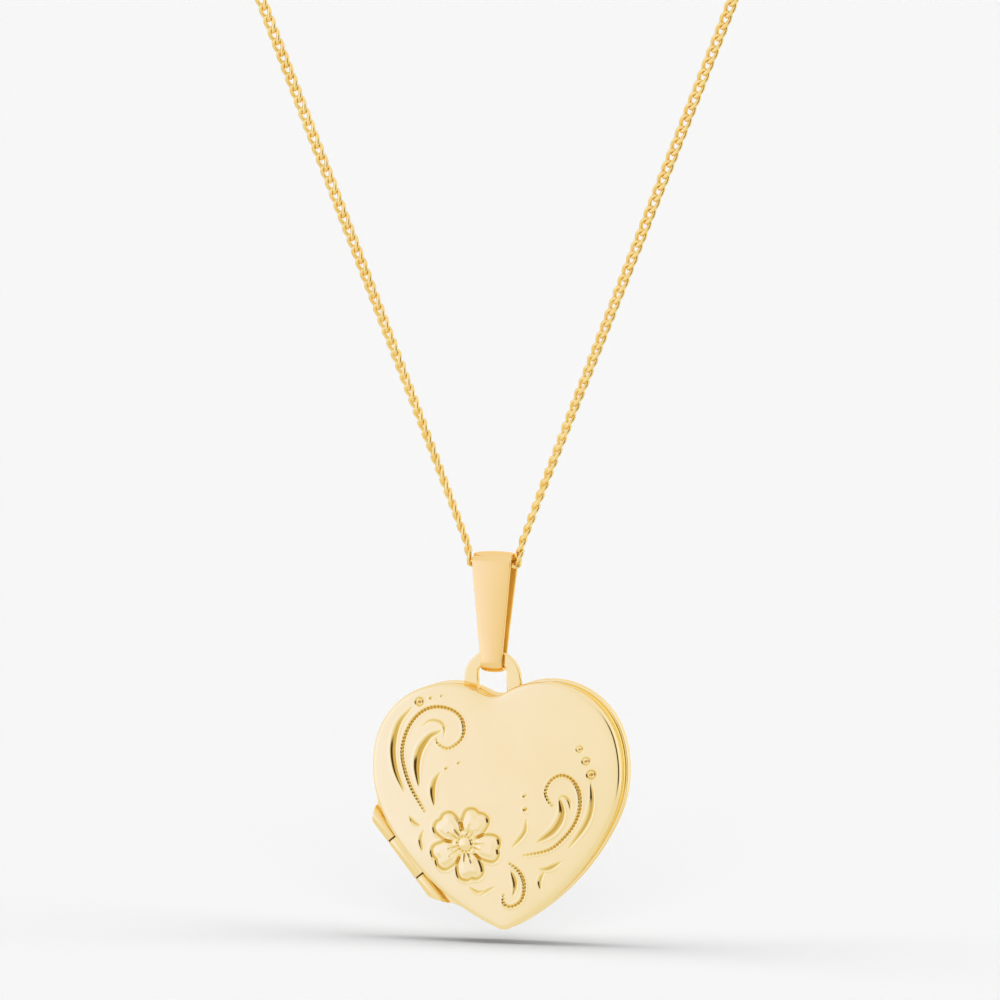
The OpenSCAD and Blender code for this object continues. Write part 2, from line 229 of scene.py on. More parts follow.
def film_material():
    """Clear acetate: mostly see-through, with faint handling marks."""
    mat, nodes, links, bsdf = new_material("window_film")
    bsdf.inputs["Base Color"].default_value = (0.96, 0.97, 0.96, 1)
    bsdf.inputs["Alpha"].default_value = 0.16
    bsdf.inputs["IOR"].default_value = 1.48
    coords = nodes.new("ShaderNodeTexCoord")
    marks = noise(nodes, links, coords, MARK_SCALE, 4, (1, 1, 0.3))
    links.new(step_node(nodes, links, marks, 0.4, 0.7, 0.04, 0.16), bsdf.inputs["Roughness"])
    return mat


def paper_material():
    """Matt insert card with fibres and a faint mottle."""
    mat, nodes, links, bsdf = new_material("photo_paper")
    bsdf.inputs["Roughness"].default_value = 0.8
    coords = nodes.new("ShaderNodeTexCoord")
    mottle = noise(nodes, links, coords, MOTTLE_SCALE, 6)
    colour = ramp(nodes, links, mottle, 0.3, 0.7, (0.78, 0.73, 0.63), (0.88, 0.85, 0.78))
    links.new(colour, bsdf.inputs["Base Color"])
    fibres = noise(nodes, links, coords, FIBRE_SCALE, 3, (0.4, 1, 1))
    links.new(bump_node(nodes, links, fibres, FIBRE_STRENGTH, FIBRE_HEIGHT), bsdf.inputs["Normal"])
    return mat


MATERIALS = {
    "cover_gold": polished_gold(
        "cover_gold", (1.0, 0.84, 0.53), (0.99, 0.82, 0.50), 0.07, 0.12, 0.05,
        # The cuts carry painted shade: a deeper yellow for light bounced in them, dark brown at
        # their floor
        painted_shading=((0.98, 0.79, 0.35), (0.70, 0.45, 0.11))),
    # The bezels' gold is partly their own colour and partly painted light: more saturated, for
    # light bounced in the parting groove
    "bezel_gold": polished_gold(
        "bezel_gold", (1.0, 0.80, 0.33), (0.98, 0.77, 0.29), 0.08, 0.15, 0.05),
    "hinge_gold": polished_gold(
        "hinge_gold", (1.0, 0.81, 0.46), (0.98, 0.78, 0.42), 0.08, 0.14, 0.05,
        # Near-black painted shade for the washers in the gaps between knuckles
        painted_shading=((0.45, 0.24, 0.06), (0.16, 0.08, 0.02)), recess_rough=0.3),
    "bail_gold": polished_gold(
        "bail_gold", (1.0, 0.73, 0.36), (0.99, 0.71, 0.34), 0.06, 0.11, 0.05,
        # The loop's inner side is painted a deeper orange, for light bounced inside it
        painted_shading=((1.0, 0.72, 0.28), (1.0, 0.68, 0.16)), recess_rough=0.45),
    "chain_gold": polished_gold(
        "chain_gold", (1.0, 0.78, 0.35), (0.97, 0.72, 0.29), 0.09, 0.17, 0.03),
    "clasp_gold": polished_gold(
        "clasp_gold", (1.0, 0.76, 0.38), (0.97, 0.71, 0.33), 0.08, 0.15, 0.04),
    "spring_steel": steel_material(),
    "window_film": film_material(),
    "photo_paper": paper_material(),
}


# ---------------------------------------------------------------- mesh helpers
# How strongly large faces decide the normals where they meet small ones
LARGE_FACE_WEIGHT = 80


def piece(name, verts, faces, slot, body, stands_for=None, place=None):
    """A mesh piece from points in millimetres, with its slot's material, on its body."""
    verts = np.asarray(verts, float)
    if place is not None:
        verts = place(verts)
    mesh = bpy.data.meshes.new(name)
    mesh.from_pydata((verts * MM).tolist(), [], faces)
    mesh.validate()
    mesh.update()
    mesh.shade_smooth()
    obj = bpy.data.objects.new(name, mesh)
    bpy.context.collection.objects.link(obj)
    mesh.materials.append(MATERIALS[slot])
    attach(obj, body)
    if stands_for:
        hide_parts(stands_for)
    return obj


def mark_painted_shading(obj, depths):
    """How much painted shading each point takes, from 0 to 1, for the material to read."""
    obj.data.attributes.new("painted_shading", "FLOAT", "POINT").data.foreach_set("value", depths)


def even_normals(obj):
    """Flat areas keep their own normal where they meet a small rounded edge."""
    mod = obj.modifiers.new("normals", "WEIGHTED_NORMAL")
    mod.keep_sharp = True
    mod.weight = LARGE_FACE_WEIGHT


def ring_faces(count, n, closed_rings=False):
    """Quads between count rings of n points each, the last joined to the first if closed."""
    faces = []
    for k in range(count if closed_rings else count - 1):
        a, b = k * n, (k + 1) % count * n
        for i in range(n):
            j = (i + 1) % n
            faces.append((a + i, a + j, b + j, b + i))
    return faces


def smooth_curve(points, step):
    """Catmull-Rom curve through the points, sampled about every step."""
    pts = np.asarray(points, float)
    ext = np.vstack([2 * pts[0] - pts[1], pts, 2 * pts[-1] - pts[-2]])
    out = []
    for i in range(1, len(ext) - 2):
        p0, p1, p2, p3 = ext[i - 1:i + 3]
        n = max(2, int(np.linalg.norm(p2 - p1) / step))
        for t in np.arange(n) / n:
            out.append(0.5 * (2 * p1 + (p2 - p0) * t + (2 * p0 - 5 * p1 + 4 * p2 - p3) * t * t
                              + (3 * p1 - p0 - 3 * p2 + p3) * t ** 3))
    out.append(pts[-1])
    return np.array(out)


def arc(centre, radius, start, end, n):
    """Points along an arc in degrees, without its last point."""
    a = np.radians(start + (end - start) * np.arange(n) / n)
    return np.asarray(centre) + radius * np.stack([np.cos(a), np.sin(a)], -1)


# ---------------------------------------------------------------- chain
# The route on the right of the bail, as (x, z); the left is its mirror image
HALF_ROUTE = [(0, 0), (0.6, 0), (1.15, 0.02), (1.65, 0.1), (1.93, 0.5), (1.98, 1), (2.1, 1.5),
              (4.04, 6.5), (6.04, 11.5), (8.05, 16.5), (10.06, 21.5), (12.07, 26.5),
              (14.08, 31.5), (16.09, 36.5), (18.1, 41.5), (19.3, 44.5)]
LINK_PITCH = 0.92
LINK_WIRE = 0.155
LINK_LONG = LINK_PITCH / 2 + LINK_WIRE
LINK_HALF = 0.35
# Below 1, a link's sides are straighter than an ellipse's
LINK_POWER = 0.8
LINK_TWIST = 42
LINK_SIDES = 8
LINK_STEPS = 22
# Degrees that a link is turned about the route, far from the bail and in it, and how it changes
FLAT_TURN, SEAT_TURN = 20, 80
TURN_REACH, TURN_POWER = 1.6, 0.7
# From each end of the route to its first link's middle
END_GAP = 0.44
# How far to each side of a place its direction is taken
DIRECTION_REACH = 0.3


def chain_route():
    """The route's points in millimetres, from the left end to the right end."""
    right = [(x, 0, z) for x, z in HALF_ROUTE]
    left = [(-x, 0, z) for x, z in HALF_ROUTE[:0:-1]]
    return np.array(left + right, float)


def along(points, distances):
    """Points and unit directions at distances along a route, and the route's length."""
    steps = np.linalg.norm(np.diff(points, axis=0), axis=1)
    total = np.concatenate([[0], np.cumsum(steps)])

    def at(places):
        return np.stack([np.interp(places, total, points[:, k]) for k in range(3)], -1)

    direction = at(distances + DIRECTION_REACH) - at(distances - DIRECTION_REACH)
    return at(distances), direction / np.linalg.norm(direction, axis=1)[:, None], total[-1]


def curb_link(centre, direction, turn):
    """One link: an oval of wire whose ends are twisted apart, so that links lie flat."""
    side = np.cross(direction, (0, 1, 0))
    side /= np.linalg.norm(side)
    up = np.array((0, 1.0, 0))
    t = np.linspace(0, 2 * math.pi, LINK_STEPS, endpoint=False)
    run = LINK_LONG * np.cos(t)
    across = LINK_HALF * np.sign(np.sin(t)) * np.abs(np.sin(t)) ** LINK_POWER
    twist = np.radians(turn - LINK_TWIST * run / LINK_LONG)
    line = (centre + run[:, None] * direction + (across * np.cos(twist))[:, None] * side
            + (across * np.sin(twist))[:, None] * up)
    tangent = np.roll(line, -1, axis=0) - np.roll(line, 1, axis=0)
    tangent /= np.linalg.norm(tangent, axis=1)[:, None]
    out = line - centre
    out -= (out * tangent).sum(1)[:, None] * tangent
    out /= np.linalg.norm(out, axis=1)[:, None]
    over = np.cross(tangent, out)
    s = np.linspace(0, 2 * math.pi, LINK_SIDES, endpoint=False)
    rings = (line[:, None] + LINK_WIRE * (np.cos(s)[None, :, None] * out[:, None]
                                          + np.sin(s)[None, :, None] * over[:, None]))
    return rings.reshape(-1, 3)


def make_chain():
    """The curb chain, its links turned on edge where they lie in the bail."""
    route = chain_route()
    length = along(route, np.zeros(1))[2]
    count = int(round((length - 2 * END_GAP) / LINK_PITCH)) + 1
    distances = np.linspace(END_GAP, length - END_GAP, count)
    centres, directions, _ = along(route, distances)
    verts, faces = [], []
    link_faces = ring_faces(LINK_STEPS, LINK_SIDES, closed_rings=True)
    for c, d, s in zip(centres, directions, distances):
        from_seat = abs(s - length / 2) / (length / 2)
        share = min(1, from_seat * TURN_REACH) ** TURN_POWER
        turn = SEAT_TURN + (FLAT_TURN - SEAT_TURN) * share
        base = len(verts) * LINK_STEPS * LINK_SIDES
        verts.append(curb_link(c, d, turn if s > length / 2 else -turn))
        faces += [tuple(base + i for i in f) for f in link_faces]
    chain = piece("curb_chain", np.vstack(verts), faces, "chain_gold", "necklace", "chain")


make_chain()


# ---------------------------------------------------------------- heart outline
# Half the outline is five arcs: notch, lobe, cheek, flank and tip
LOBE_X, LOBE_Z, LOBE_R = 3.77, -14.43, 5.8
CHEEK_FROM, CHEEK_R = 13, 8.7
FLANK_FROM, FLANK_R = -28, 17.9
TIP_R, NOTCH_R, LEAST_TIP = 1.0, 1.8, 0.1
ARC_STEPS = (12, 50, 26, 40, 12)
# The foot of the bail, about which the locket leans
PIVOT_Z = -7.2
PARTING_Y = -0.28
TILT = math.radians(2.9)
HEART_SHIFT = 0.23
HEART_MID = np.array([0, -17.0])


def turned(angle):
    """The unit direction at an angle in degrees."""
    a = math.radians(angle)
    return np.array([math.cos(a), math.sin(a)])


CHEEK_C = np.array([LOBE_X, LOBE_Z]) + (LOBE_R - CHEEK_R) * turned(CHEEK_FROM)
FLANK_C = CHEEK_C + (CHEEK_R - FLANK_R) * turned(FLANK_FROM)
NOTCH_Z = LOBE_Z + math.sqrt((LOBE_R + NOTCH_R) ** 2 - LOBE_X ** 2)


def heart(inset):
    """The covers' outline in XZ, a distance inside its edge, clockwise from the notch."""
    tip_r = max(TIP_R - inset, LEAST_TIP)
    tip_z = FLANK_C[1] - math.sqrt((FLANK_R - inset - tip_r) ** 2 - FLANK_C[0] ** 2)
    to_lobe = math.degrees(math.atan2(LOBE_Z - NOTCH_Z, LOBE_X))
    to_tip = math.degrees(math.atan2(tip_z - FLANK_C[1], -FLANK_C[0]))
    n = ARC_STEPS
    half = np.vstack([
        arc((0, NOTCH_Z), NOTCH_R + inset, -90, to_lobe, n[0]),
        arc((LOBE_X, LOBE_Z), LOBE_R - inset, to_lobe + 180, CHEEK_FROM, n[1]),
        arc(CHEEK_C, CHEEK_R - inset, CHEEK_FROM, FLANK_FROM, n[2]),
        arc(FLANK_C, FLANK_R - inset, FLANK_FROM, to_tip, n[3]),
        arc((0, tip_z), tip_r, to_tip, -90, n[4]),
        [(0, tip_z - tip_r)]])
    return np.vstack([half, half[-2:0:-1] * (-1, 1)])


def hang(points):
    """From the locket's upright drawing to where it hangs."""
    p = np.asarray(points, float)
    c, s = math.cos(TILT), math.sin(TILT)
    z = p[:, 2] - PIVOT_Z
    return np.stack([c * p[:, 0] - s * z + HEART_SHIFT, p[:, 1] + PARTING_Y,
                     s * p[:, 0] + c * z + PIVOT_Z], -1)


def inside(points, loop):
    """Which 2-D points lie inside a closed loop."""
    x, z = points[:, 0], points[:, 1]
    result = np.zeros(len(points), bool)
    for (x0, z0), (x1, z1) in zip(loop, np.roll(loop, -1, axis=0)):
        if z0 == z1:
            continue
        crosses = (z0 > z) != (z1 > z)
        result ^= crosses & (x < (x1 - x0) * (z - z0) / (z1 - z0) + x0)
    return result


# ---------------------------------------------------------------- decoration
# Plain cuts: half-width and the points that each follows, on the upright cover
CUTS = [
    (0.24, [(-5.9, -10.3), (-7.0, -11.5), (-7.5, -13.2), (-7.4, -14.9), (-6.8, -16.6)]),
    (0.28, [(-5.6, -16.2), (-5.7, -14.7), (-5.4, -13.5), (-4.6, -12.5), (-3.7, -12.1)]),
    (0.13, [(-3.5, -12.6), (-3.4, -11.9), (-3.8, -11.4), (-4.5, -11.3), (-5.1, -11.7)]),
    (0.22, [(-4.45, -17.7), (-4.55, -16.6), (-4.35, -15.8), (-3.9, -15.2)]),
    (0.15, [(-6.5, -18.4), (-6.25, -18.85), (-5.7, -19.2)]),
    (0.16, [(-5.45, -19.5), (-5.75, -20.2), (-5.6, -21.1)]),
    (0.13, [(-1.25, -24.45), (-0.75, -24.1), (-0.1, -23.8)]),
    (0.13, [(-2.1, -23.8), (-1.5, -24.15), (-0.9, -24.1)]),
    (0.18, [(1.25, -22.6), (1.5, -23.6), (1.3, -24.5)]),
    (0.19, [(3.45, -22.55), (4.2, -22.45), (5.15, -22.0)]),
    (0.17, [(3.8, -22.7), (3.4, -23.4), (3.45, -24.05)]),
    (0.28, [(3.4, -20.5), (4.75, -19.6), (5.4, -18.45), (5.3, -17.3)]),
    (0.13, [(5.2, -17.3), (5.6, -17.1), (6.0, -17.5), (6.1, -18.2)]),
    (0.22, [(7.75, -16.1), (7.75, -17.6), (7.2, -19.2), (5.8, -21.0)]),
    (0.18, [(2.65, -18.8), (2.4, -19.8), (1.45, -20.85)]),
]
# Beaded cuts, whose floor is a row of small punch marks
BEADED = [
    (0.17, [(-5.2, -18.2), (-6.3, -16.1), (-6.8, -14.1), (-6.6, -12.6), (-5.9, -11.3),
            (-4.9, -10.5), (-3.8, -10.3), (-2.7, -10.6), (-2.0, -11.3), (-1.9, -12.2),
            (-2.3, -12.9), (-3.2, -13.4), (-3.9, -13.1), (-4.1, -12.6)]),
    (0.17, [(2.2, -21.5), (4.2, -21.1), (5.4, -20.25), (6.3, -19.2), (6.8, -18.0),
            (6.8, -16.8), (6.3, -15.9), (5.5, -15.55), (4.7, -15.9), (4.25, -16.7),
            (4.4, -17.4), (4.8, -17.9)]),
    (0.16, [(1.1, -22.0), (1.8, -22.6), (2.15, -23.3), (2.15, -24.1), (1.8, -24.9),
            (1.0, -25.3), (0.5, -25.0), (0.55, -24.3)]),
]
BEAD_PITCH = 0.27
BEAD_R, BEAD_DEPTH = 0.14, 0.09
# How suddenly a cut narrows at its ends, its width there and in the middle as shares of the
# whole, and how shallow a beaded one is
PLAIN_POWER, BEADED_POWER = 0.6, 0.3
END_SHARE, LONG_SHARE = 0.2, 0.8
BEADED_SHARE = 0.75
# Round punch marks: place, radius and whether a ring is struck around the pit
PITS = [((-5.3, -9.9), 0.3, True), ((-4.4, -9.65), 0.15, False), ((-3.55, -9.5), 0.13, False),
        ((-3.4, -14.9), 0.15, False), ((-2.4, -14.5), 0.14, False),
        ((7.0, -13.65), 0.24, True), ((7.45, -14.55), 0.28, True), ((7.8, -15.55), 0.32, True),
        ((2.6, -17.05), 0.17, False), ((2.6, -18.05), 0.2, False)]
# A ringed mark's pit and ring, and how far a mark reaches, as shares of its radius
PIT_SHARE, RING_AT, RING_HALF, RING_DEPTH, MARK_REACH = 0.5, 0.95, 0.34, 0.27, 1.2
# The decoration is drawn about the loop, a little beside the heart's own middle
ART_SHIFT = np.array([-0.37, -0.04])
FLOWER_C = np.array([-2.25, -20.55])
FLOWER_TURN = 62
PETAL_OUT, PETAL_LONG, PETAL_HALF, PETAL_DENT = 1.7, 1.02, 1.13, 0.12
PETALS, PETAL_POWER, PETAL_STEP = 5, 0.72, 4
# A petal's width at its middle and what it gains outwards, and the half-width of its dent
PETAL_MID, PETAL_FLARE, DENT_HALF = 0.86, 0.14, 0.22
PETAL_LINE, PETAL_DEPTH, PETAL_RISE = 0.16, 0.095, 0.07
# How far in from its line a petal reaches its full rise, and where petals fade into the disc
PILLOW_EDGE, FADE_FROM, FADE_OVER = 0.55, 0.85, 0.35
DISC_R, DISC_RISE, DISC_LINE = 0.5, 0.1, 0.13
# The line round the disc: its distance, its notches, and its depth
DISC_GAP, DISC_NOTCHES, DISC_LINE_DEPTH = 0.08, 13, 0.1
NOTCH_MEAN, NOTCH_SWING = 0.7, 0.3
DISC_REACH = 0.9
# Each stamen: degrees from the petal's middle, and where it starts and stops from the centre
STAMENS = ((-12, 0.72, 1.3), (10, 0.75, 1.5))
STAMEN_HALF, STAMEN_DEPTH = 0.09, 0.09
# The depth at which a cut takes its full painted shade, and how early the painted shade sets in
DEEP, TINT_POWER = 0.11, 0.65
# How round a cut's floor is, and its depth, as shares of its half-width
FLOOR_ROUND = 0.2
WALL_SLOPE = 0.58
# The raised lip beside a cut: its height as a share of the depth, its place and half-width
LIP_RISE, LIP_AT, LIP_HALF = 0.12, 1.3, 0.5
# Curves are sampled about this often, and worked out this far to each side
CURVE_STEP, CURVE_REACH, FLOWER_REACH = 0.12, 1.0, 3.4


def to_curve(points, curve, closed=False):
    """Each point's distance to a curve, how far along it lies, and the curve's length."""
    a, b = (curve, np.roll(curve, -1, axis=0)) if closed else (curve[:-1], curve[1:])
    seg = b - a
    size = np.linalg.norm(seg, axis=1)
    start = np.concatenate([[0], np.cumsum(size)[:-1]])
    best = np.full(len(points), 1e9)
    where = np.zeros(len(points))
    for p0, d, l, s0 in zip(a, seg, size, start):
        t = np.clip(((points - p0) @ d) / (l * l), 0, 1)
        gap = np.linalg.norm(points - p0 - t[:, None] * d, axis=1)
        nearer = gap < best
        best[nearer] = gap[nearer]
        where[nearer] = s0 + t[nearer] * l
    return best, where / size.sum(), size.sum()


def groove(gap, half, depth):
    """Depth across a pressed cut: straight walls, a rounded floor and a faint raised lip."""
    u = np.clip(gap / np.maximum(half, 1e-6), 0, 3)
    full = math.hypot(1, FLOOR_ROUND) - FLOOR_ROUND
    cut = -depth * np.clip(1 - (np.hypot(u, FLOOR_ROUND) - FLOOR_ROUND) / full, 0, 1)
    lip = LIP_RISE * depth * np.clip(1 - ((u - LIP_AT) / LIP_HALF) ** 2, 0, 1) ** 2
    return cut + lip


def petal_loop(angle):
    """A petal's outline: a rounded square with a shallow dent in its outer edge."""
    t = np.radians(np.arange(0, 360, PETAL_STEP))
    c, s = np.cos(t), np.sin(t)
    out = PETAL_LONG * np.sign(c) * np.abs(c) ** PETAL_POWER
    side = PETAL_HALF * np.sign(s) * np.abs(s) ** PETAL_POWER
    side *= PETAL_MID + PETAL_FLARE * out / PETAL_LONG
    out -= PETAL_DENT * np.exp(-(side / DENT_HALF) ** 2) * (c > 0)
    ray, across = turned(angle), turned(angle + 90)
    return FLOWER_C + (PETAL_OUT + out)[:, None] * ray + side[:, None] * across


def close_to(points, curve, reach):
    """Which points lie in the box round a curve, with reach to spare."""
    low, high = curve.min(0) - reach, curve.max(0) + reach
    return np.where(((points > low) & (points < high)).all(1))[0]


def stroke(points, half, route, beaded):
    """A cut along a route: its points' heights and their distances from its side."""
    gap, where, length = to_curve(points, route)
    taper = np.clip(np.sin(math.pi * where), 0, 1) ** (BEADED_POWER if beaded else PLAIN_POWER)
    reach = half * (END_SHARE + LONG_SHARE * taper)
    values = groove(gap, reach, WALL_SLOPE * reach * (BEADED_SHARE if beaded else 1))
    if beaded:
        beads = max(1, round(length / BEAD_PITCH))
        step = (where * beads) % 1 - 0.5
        spot = np.hypot(gap, step * length / beads)
        values = values + groove(spot, BEAD_R, BEAD_DEPTH * taper)
    return values, gap - half


def mark(points, centre, radius, ringed):
    """A round punch mark: its points' heights and their distances from its side."""
    gap = np.linalg.norm(points - centre, axis=1)
    if ringed:
        values = (groove(gap, radius * PIT_SHARE, radius * PIT_SHARE)
                  + groove(np.abs(gap - radius * RING_AT), radius * RING_HALF,
                           radius * RING_DEPTH))
    else:
        values = groove(gap, radius, radius * WALL_SLOPE)
    return values, gap - radius * MARK_REACH


def flower(points):
    """Gives the heights and the distances from the side of each petal, each stamen and the disc."""
    radius = np.linalg.norm(points - FLOWER_C, axis=1)
    fade = np.clip((radius - FADE_FROM) / FADE_OVER, 0, 1)
    for k in range(PETALS):
        angle = FLOWER_TURN + 360 / PETALS * k
        loop = petal_loop(angle)
        gap, _, _ = to_curve(points, loop, closed=True)
        pillow = PETAL_RISE * np.clip(gap / PILLOW_EDGE, 0, 1) * inside(points, loop) * fade
        yield groove(gap, PETAL_LINE, PETAL_DEPTH) * fade + pillow, gap - PETAL_LINE
        for offset, start, stop in STAMENS:
            line = FLOWER_C + np.array([[start], [stop]]) * turned(angle + offset)
            gap, _, _ = to_curve(points, line)
            yield groove(gap, STAMEN_HALF, STAMEN_DEPTH), gap - STAMEN_HALF
    disc = DISC_RISE * np.clip(1 - (radius / DISC_R) ** 2, 0, 1)
    around = np.arctan2(points[:, 1] - FLOWER_C[1], points[:, 0] - FLOWER_C[0])
    notches = NOTCH_MEAN + NOTCH_SWING * np.cos(DISC_NOTCHES * around)
    ring = groove(np.abs(radius - DISC_R - DISC_GAP), DISC_LINE, DISC_LINE_DEPTH * notches)
    yield disc + ring, radius - DISC_REACH


def relief(points):
    """Height of the decoration over the plain face, and the distance to any of it."""
    points = points - ART_SHIFT
    height = np.zeros(len(points))
    near = np.full(len(points), 1e9)

    def add(picked, values, gap):
        height[picked] += values
        near[picked] = np.minimum(near[picked], gap)

    for beaded, group in ((False, CUTS), (True, BEADED)):
        for half, route in group:
            curve = smooth_curve(route, CURVE_STEP)
            picked = close_to(points, curve, CURVE_REACH)
            add(picked, *stroke(points[picked], half, curve, beaded))
    for centre, radius, ringed in PITS:
        picked = close_to(points, np.array([centre]), CURVE_REACH)
        add(picked, *mark(points[picked], centre, radius, ringed))
    picked = close_to(points, np.array([FLOWER_C]), FLOWER_REACH)
    for values, gap in flower(points[picked]):
        add(picked, values, gap)
    return height, near


# ---------------------------------------------------------------- covers
# From the parting plane to each cover's edge, and from there to its flat face
FRONT_EDGE, BACK_EDGE = 0.58, 0.7
FRONT_WALL, BACK_WALL = 0.77, 0.95
SHOULDER_R, DOME_RISE, COVER_T = 0.32, 0.3, 0.3
EDGE_R, INNER_R, SHOULDER_TURNS = 0.05, 0.1, 8
# The finest spacing of a face's points, how many times wider it is beyond each reach from
# the decoration, and the share of the outline's size that they fill
FINE_STEP = 0.045
FINE_REACH, MIDDLE_REACH = 0.14, 0.5
MIDDLE_TIMES, WIDE_TIMES = 2, 6
FACE_SHARE = 0.985
# The dome is worked out on a grid by repeated averaging, with a little push up each time
DOME_GRID, DOME_SIDE, DOME_LOW, DOME_HIGH = 0.1, 10.2, -27.6, -8.0
DOME_ROUNDS, DOME_EASE, DOME_PUSH = 3000, 0.95, 0.0001
# It starts from a guess that falls by this much over this distance from the middle
GUESS_FALL, GUESS_SPAN = 0.5, 10
# Below 1, the dome's middle is flatter
DOME_POWER = 0.9


def dome_table():
    """A smooth swelling over the face: zero at its edge, one in the middle."""
    xs = np.arange(-DOME_SIDE, DOME_SIDE + DOME_GRID / 10, DOME_GRID)
    zs = np.arange(DOME_LOW, DOME_HIGH, DOME_GRID)
    grid = np.stack(np.meshgrid(xs, zs), -1)
    free = inside(grid.reshape(-1, 2), heart(SHOULDER_R)).reshape(grid.shape[:2])
    u = np.where(free, 1.0, 0.0)
    spread = np.minimum(1, np.abs(grid - HEART_MID).sum(-1) / GUESS_SPAN)
    u *= 1 - GUESS_FALL * spread
    for _ in range(DOME_ROUNDS):
        around = 0.25 * (u[:-2, 1:-1] + u[2:, 1:-1] + u[1:-1, :-2] + u[1:-1, 2:])
        u[1:-1, 1:-1] += DOME_EASE * (around + DOME_PUSH - u[1:-1, 1:-1])
        u *= free
    return xs, zs, (u / u.max())


DOME_X, DOME_Z, DOME_U = dome_table()


def dome(points):
    """Height of the plain swelling over the flat face."""
    fx = np.clip((points[:, 0] - DOME_X[0]) / DOME_GRID, 0, len(DOME_X) - 1.001)
    fz = np.clip((points[:, 1] - DOME_Z[0]) / DOME_GRID, 0, len(DOME_Z) - 1.001)
    i, j = fx.astype(int), fz.astype(int)
    tx, tz = fx - i, fz - j
    u = (DOME_U[j, i] * (1 - tx) * (1 - tz) + DOME_U[j, i + 1] * tx * (1 - tz)
         + DOME_U[j + 1, i] * (1 - tx) * tz + DOME_U[j + 1, i + 1] * tx * tz)
    return DOME_RISE * np.clip(u, 0, 1) ** DOME_POWER


def face_points(loop, decorated):
    """Points over the face: close together at the decoration, wide apart elsewhere."""
    low, high = loop.min(0), loop.max(0)
    i, j = np.meshgrid(np.arange(int((high[0] - low[0]) / FINE_STEP)),
                       np.arange(int((high[1] - low[1]) / FINE_STEP)))
    i, j = i.ravel(), j.ravel()
    grid = low + np.stack([i, j], -1) * FINE_STEP
    keep = (i % WIDE_TIMES == 0) & (j % WIDE_TIMES == 0)
    if decorated:
        _, near = relief(grid)
        keep |= near < FINE_REACH
        keep |= (near < MIDDLE_REACH) & (i % MIDDLE_TIMES == 0) & (j % MIDDLE_TIMES == 0)
    grid = grid[keep]
    centre = loop.mean(0)
    return grid[inside(grid, centre + (loop - centre) * FACE_SHARE)]


def cover(name, slot, body, wall, edge, side, decorated):
    """A stamped heart cover. side is -1 for the front, whose face is towards -Y."""
    n = len(heart(0))
    inner_wall = wall - COVER_T
    rings = [(COVER_T + INNER_R, inner_wall), (COVER_T, inner_wall - INNER_R),
             (COVER_T, EDGE_R), (COVER_T - EDGE_R, 0), (EDGE_R, 0), (0, EDGE_R)]
    rings += [(SHOULDER_R * (1 - math.cos(a)), wall - SHOULDER_R * (1 - math.sin(a)))
              for a in np.radians(np.linspace(0, 90, SHOULDER_TURNS))]
    verts = []
    for inset, y in rings:
        loop = heart(inset)
        verts.append(np.stack([loop[:, 0], np.full(n, y), loop[:, 1]], -1))
    verts = np.vstack(verts)
    faces = ring_faces(len(rings), n)
    painted_shading = np.zeros(len(verts))
    for ring, level, fancy in ((len(rings) - 1, wall, decorated), (0, inner_wall, False)):
        loop = heart(rings[ring][0])
        extra = face_points(loop, fancy)
        flat = [Vector(p) for p in np.vstack([loop, extra])]
        edges = [(k, (k + 1) % n) for k in range(n)]
        out = delaunay_2d_cdt(flat, edges, [], 1, 1e-7)
        points = np.array([(p.x, p.y) for p in out[0]])
        index = np.full(len(points), -1)
        for k, origins in enumerate(out[3]):
            for o in origins:
                if o < n:
                    index[k] = ring * n + o
        new = np.where(index < 0)[0]
        index[new] = len(verts) + np.arange(len(new))
        height = level + dome(points[new])
        painted_shade_share = np.zeros(len(new))
        if fancy:
            carved = relief(points[new])[0]
            height = height + carved
            # A cut is painted darker the deeper it lies, as the shade in it
            painted_shade_share = np.clip(-carved / DEEP, 0, 1) ** TINT_POWER
        painted_shading = np.concatenate([painted_shading, painted_shade_share])
        verts = np.vstack([verts, np.stack([points[new, 0], height, points[new, 1]], -1)])
        flip = ring == 0
        for tri in out[2]:
            t = tuple(int(index[k]) for k in tri)
            faces.append(t if flip else t[::-1])
    verts[:, 1] = side * (verts[:, 1] + edge)
    if side > 0:
        faces = [f[::-1] for f in faces]
    obj = piece(name + "_shell", verts, faces, slot, body, name, hang)
    mark_painted_shading(obj, painted_shading)


cover("front_cover", "cover_gold", "locket_front", FRONT_WALL, FRONT_EDGE, -1, True)
cover("back_cover", "cover_gold", "locket_back", BACK_WALL, BACK_EDGE, 1, False)

# ---------------------------------------------------------------- bezels and frames
BEZEL_INSET, WELL_INSET, LEDGE_INSET = 0.12, 1.3, 1.9
PARTING_HALF, LEDGE_T, BEZEL_R = 0.03, 0.12, 0.05
# Room for the card and window behind a frame, its gap to the well and how it narrows
CARD_ROOM, FRAME_GAP, FRAME_LIP, FRAME_R = 0.16, 0.04, 0.1, 0.03
FRAME_STEP, FRAME_T = 0.12, 0.2


def profile_ring(name, body, node, profile, side):
    """A heart-shaped rail of the given section, listed as (inset, depth) all the way round."""
    n = len(heart(0))
    verts = []
    for inset, y in profile:
        loop = heart(inset)
        verts.append(np.stack([loop[:, 0], np.full(n, side * y), loop[:, 1]], -1))
    faces = ring_faces(len(profile), n, closed_rings=True)
    if side < 0:
        faces = [f[::-1] for f in faces]
    even_normals(piece(name, np.vstack(verts), faces, "bezel_gold", body, node, hang))


def rounded(section, radius, steps=3):
    """The corners of a closed section, rounded."""
    pts = np.asarray(section, float)
    out = []
    for before, here, after in zip(np.roll(pts, 1, axis=0), pts, np.roll(pts, -1, axis=0)):
        a, b = before - here, after - here
        a, b = a / np.linalg.norm(a), b / np.linalg.norm(b)
        for t in np.linspace(0, 1, steps + 1):
            out.append(here + radius * ((1 - t) ** 2 * a + t ** 2 * b))
    return out


